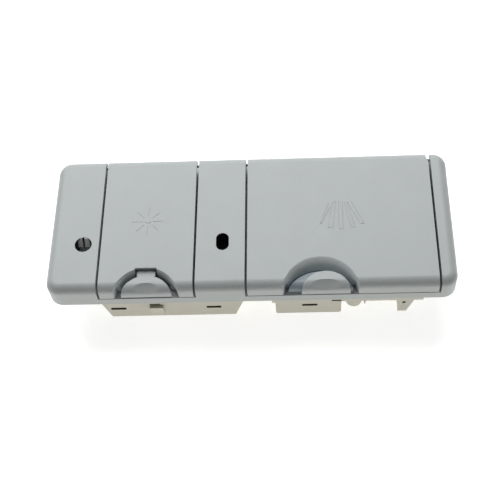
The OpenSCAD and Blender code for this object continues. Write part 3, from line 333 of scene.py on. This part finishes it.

# Rear housing: tank, actuator box and plate, moulded in natural ivory polypropylene.
# The snap slots in its front wall, a shallow groove cut over the screw boss and the bracket's peg hole are painted
# shadow dark within.
housing_ivory = moulded_plastic("housing_ivory", (0.6, 0.585, 0.5), 0.5, mottle=0.03)
tank = moulded_copy("rear_housing", "housing", housing_ivory, EDGE)
slot_shadow = moulded_plastic("slot_shadow", (0.1, 0.1, 0.065), 0.6)
tank.data.materials.append(slot_shadow)
FRONT_WALL_Y = -44.7
SHADOW_POCKETS = (
    (-93.32, -83.28, 9.2, 11.92), (-30.22, -20.68, 9.3, 11.92), (32.48, 42.32, 9.4, 11.9),
    (51.68, 57.92, 15.08, 16.62), (-67.32, -60.28, 14.3, 16.02), (62.4, 70.1, 21.5, 23.3),
)
# Each pocket is cut so that its faces take the painted shadow.
for x0, x1, z0, z1 in SHADOW_POCKETS:
    bpy.ops.object.select_all(action="DESELECT")
    bpy.ops.mesh.primitive_cube_add(size=1)
    pocket = bpy.context.object
    pocket.scale = ((x1 - x0) * MM, 3.3 * MM, (z1 - z0) * MM)
    pocket.location = ((x0 + x1) / 2 * MM, FRONT_WALL_Y * MM, (z0 + z1) / 2 * MM)
    pocket.data.materials.append(slot_shadow)
    bpy.ops.object.select_all(action="DESELECT")
    bpy.context.view_layer.objects.active = tank
    cut = tank.modifiers.new("pocket", "BOOLEAN")
    cut.operation = "DIFFERENCE"
    cut.solver = "EXACT"
    cut.material_mode = "TRANSFER"
    cut.object = pocket
    bpy.ops.object.modifier_apply(modifier=cut.name)
    bpy.data.objects.remove(pocket)
smooth_soft_edges(tank)
# Painted shadow on the inner walls of the bracket's peg hole.
PEG_HOLE = (98.4, 11.7)
for face in tank.data.polygons:
    x, y, z = face.center / MM
    if math.hypot(x - PEG_HOLE[0], z - PEG_HOLE[1]) < 1.4 and abs(face.normal.y) < 0.5:
        face.material_index = 1

# Seals: soft black rubber with a dull skin.
seal_rubber = moulded_plastic("seal_rubber", (0.03, 0.03, 0.032), 0.7, mottle=0.1)
dress(seal_rubber, "door_seal", "detergent_lid_seal", "rinse_lid_seal", "dial_seal", "dosing_seal")


# Pins, springs, coil yoke, plunger and screws: drawn and turned stainless steel.
def drawn_steel(name, colour, roughness):
    made = Finish(name, Metallic=1.0)
    lines = made.noise(0.0006, detail=4.0)
    return made.finish(
        Base_Color=made.blend(lines, shade(colour, 0.88), shade(colour, 1.05)),
        Roughness=roughness - 0.06 + lines * 0.14,
    )


pin_steel = drawn_steel("pin_steel", (0.56, 0.56, 0.57), 0.3)
dress(pin_steel, "detergent_hinge_pin", "rinse_hinge_pin", "rinse_latch_pin", "lever_pin", "coil_yoke",
      "coil_plunger", "housing_screws", "detergent_lid_spring", "rinse_latch_spring")

# Two coil springs: each is a smooth-shaded copy that rides with its moving end.
WORKING_SPRINGS = (
    ("latch_spring", "detergent_latch", "detergent_latch_slide", 7.0),
    ("plunger_spring", "plunger", "plunger_slide", 3.25),
)
for name, body, joint, travel in WORKING_SPRINGS:
    bpy.ops.object.select_all(action="DESELECT")
    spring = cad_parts[name].copy()
    spring.data = spring.data.copy()
    spring.name = name + "_wound"
    bpy.context.scene.collection.objects.link(spring)
    spring.parent = None
    spring.select_set(True)
    bpy.context.view_layer.objects.active = spring
    bpy.ops.object.mode_set(mode="EDIT")
    bpy.ops.mesh.select_all(action="SELECT")
    bpy.ops.mesh.remove_doubles(threshold=1e-6)
    bpy.ops.object.mode_set(mode="OBJECT")
    bpy.ops.object.shade_smooth_by_angle(angle=math.radians(70))
    spring.data.materials.clear()
    spring.data.materials.append(pin_steel)
    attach(spring, body)
    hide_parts(name)
    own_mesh(spring)

# Dial, dosing rod and lever: white plastic.
dial_white = moulded_plastic("dial_white", (0.72, 0.72, 0.68), 0.4)
dress(dial_white, "dose_dial", "dosing_rod", "release_lever", "lid_hook")

# Level window: a dark clear lens, with the red float under it.
lens_dark = moulded_plastic("lens_dark", (0.015, 0.017, 0.02), 0.16, depth=0.000004)
dress(lens_dark, "level_lens")
float_red = moulded_plastic("float_red", (0.5, 0.07, 0.04), 0.45)
dress(float_red, "level_float")

# Coil: black bobbin, lacquered copper winding and brass blades.
bobbin_black = moulded_plastic("bobbin_black", (0.03, 0.032, 0.035), 0.5)
dress(bobbin_black, "coil_bobbin")
winding_copper = drawn_steel("winding_copper", (0.62, 0.25, 0.1), 0.3)
dress(winding_copper, "coil_winding")
blade_brass = drawn_steel("blade_brass", (0.58, 0.45, 0.18), 0.3)
dress(blade_brass, "terminals")

# Table: a white sheet that keeps the part's shadow, with a painted glow that lights the part.
TABLE_SIZE = 6.0
bpy.ops.object.select_all(action="DESELECT")
bpy.ops.mesh.primitive_plane_add(size=TABLE_SIZE)
table = bpy.context.object
table.name = "table"
white = Finish("table_white", Roughness=0.9, Specular_IOR_Level=0.1)
# Painted light: the glow is brightest near the part and stands in for light bounced off the table; the camera sees
# the sheet evenly white.
seen = white.node("ShaderNodeLightPath", out="Is Camera Ray")
away = white.node("ShaderNodeVectorMath", {"operation": "LENGTH"}, out="Value", i0=white.place)
glow_falloff = white.node("ShaderNodeMapRange", i0=away, i1=0.16, i2=0.42, i3=0.0, i4=1.0)
table_glow = white.blend(glow_falloff, (0.9, 0.885, 0.84, 1), (0.3, 0.3, 0.3, 1))
white.finish(Base_Color=(0.82, 0.82, 0.82, 1.0),
             Emission_Color=white.blend(seen, table_glow, (0.7, 0.7, 0.7, 1)),
             Emission_Strength=1.0)
table.data.materials.append(white.material)

world = bpy.data.worlds.new("room")
bpy.context.scene.world = world
world.use_nodes = True
sky = world.node_tree
sky_place = sky.nodes.new("ShaderNodeTexCoord")
sky_height = sky.nodes.new("ShaderNodeVectorMath")
sky_height.operation = "DOT_PRODUCT"
sky_height.inputs[1].default_value = (0.0, 0.5, 0.87)
sky_light = sky.nodes.new("ShaderNodeMapRange")
sky_light.inputs["From Min"].default_value = -0.2
sky_light.inputs["To Min"].default_value = 0.06
sky_light.inputs["To Max"].default_value = 0.4
sky.links.new(sky_place.outputs["Generated"], sky_height.inputs[0])
sky.links.new(sky_height.outputs["Value"], sky_light.inputs["Value"])
sky_seen = sky.nodes.new("ShaderNodeLightPath")
sky_strength = sky.nodes.new("ShaderNodeMath")
sky_strength.operation = "MAXIMUM"
sky.links.new(sky_seen.outputs["Is Camera Ray"], sky_strength.inputs[0])
sky.links.new(sky_light.outputs["Result"], sky_strength.inputs[1])
sky.links.new(sky_strength.outputs[0], sky.nodes["Background"].inputs["Strength"])
sky.nodes["Background"].inputs["Color"].default_value = (1.0, 1.0, 1.0, 1.0)


# Lamp: one broad soft box high behind the part; the table's painted glow lights its front from below.
def soft_box(name, place, target, size, watts, colour=(1.0, 1.0, 1.0)):
    lamp = bpy.data.lights.new(name, "AREA")
    lamp.shape = "RECTANGLE"
    lamp.size, lamp.size_y = size
    lamp.energy = watts
    lamp.color = colour
    holder = bpy.data.objects.new(name, lamp)
    bpy.context.scene.collection.objects.link(holder)
    holder.location = place
    holder.rotation_euler = (Vector(target) - Vector(place)).to_track_quat("-Z", "Y").to_euler()


soft_box("back_light", (-0.2, 0.9, 1.1), (0, 0, 0.03), (1.6, 1.0), 19.5)

# Camera: the photograph's own place, turn and lens, fitted to the part's edges.
FOCAL_PX = 1046.819
FRAME_PX = 500
ELEVATION, TURN, ROLL = (math.radians(a) for a in (58.39084, -5.38138, -5.90984))
CAMERA_PLACE = Vector((0.0327872, -0.3711960, 0.6136726))
look = Vector((math.sin(TURN) * math.cos(ELEVATION), math.cos(TURN) * math.cos(ELEVATION),
               -math.sin(ELEVATION)))
level_right = Vector((math.cos(TURN), -math.sin(TURN), 0))
level_up = level_right.cross(look)
right = math.cos(ROLL) * level_right + math.sin(ROLL) * level_up
up = -math.sin(ROLL) * level_right + math.cos(ROLL) * level_up
eye = bpy.data.cameras.new("camera")
eye.sensor_width = 36.0
eye.lens = FOCAL_PX / FRAME_PX * eye.sensor_width
camera = bpy.data.objects.new("camera", eye)
bpy.context.scene.collection.objects.link(camera)
turn = Matrix((right, up, -look)).transposed().to_4x4()
camera.matrix_world = Matrix.Translation(CAMERA_PLACE) @ turn
bpy.context.scene.camera = camera
bpy.context.scene.view_settings.view_transform = "Standard"
